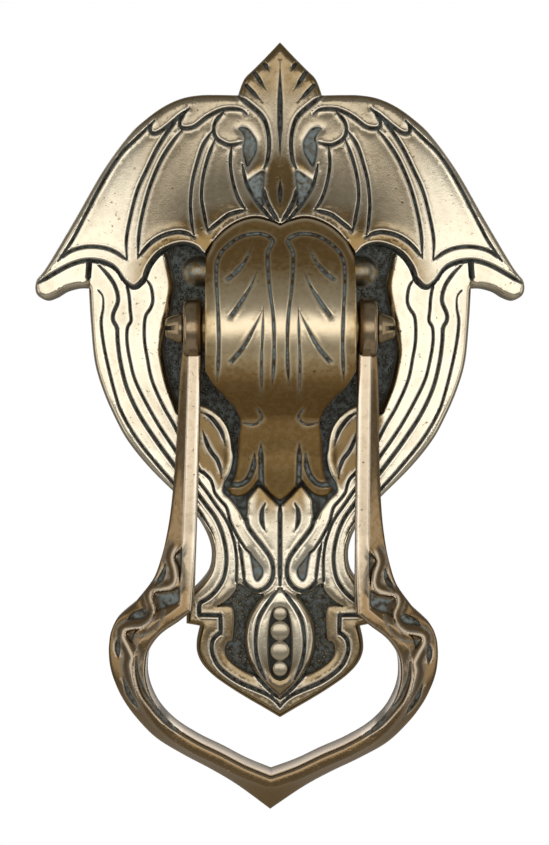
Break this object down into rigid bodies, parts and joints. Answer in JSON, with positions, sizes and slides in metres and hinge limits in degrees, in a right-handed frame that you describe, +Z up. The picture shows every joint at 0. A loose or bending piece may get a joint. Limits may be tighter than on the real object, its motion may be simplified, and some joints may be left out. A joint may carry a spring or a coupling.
{
  "type": "door knocker",
  "caption": "Cast-brass door knocker: winged leaf backplate with a hinge barrel, and a heart-shaped ring on two arms that swings on a pin and strikes the plate.",
  "frame": {"origin": "on the plate's flat back, straight behind the pivot pin, where the back meets the door", "axes": "+Y back into the door, so the front faces -Y; +Z up the door; +X to the right seen from the front"},
  "size_m": [0.1218, 0.0826, 0.1898],
  "materials": {
    "plate_brass": "aged sand casting, rubbed bright on the high faces, dark patina in the engraving",
    "barrel_brass": "aged casting with brown tarnish",
    "ring_brass": "handled casting, smooth on the inner rim and arms",
    "steel": "dull oiled steel"
  },
  "bodies": {
    "backplate": {"backplate": "plate_brass", "hinge_barrel": "barrel_brass", "pivot_pin": "steel", "left_pin_cap": "barrel_brass", "right_pin_cap": "barrel_brass", "left_spacing_washer": "barrel_brass", "right_spacing_washer": "barrel_brass", "upper_barrel_screw": "steel", "lower_barrel_screw": "steel", "upper_stud": "steel", "lower_stud": "steel", "upper_door_washer": "steel", "lower_door_washer": "steel", "upper_square_nut": "steel", "lower_square_nut": "steel"},
    "knocker": {"knocker": "ring_brass"}
  },
  "joints": [
    {"name": "knocker_swing", "type": "hinge", "parent": "backplate", "child": "knocker", "pos_m": [0, -0.011, 0], "axis": [-1, 0, 0], "range_deg": [0, 165]}
  ]
}
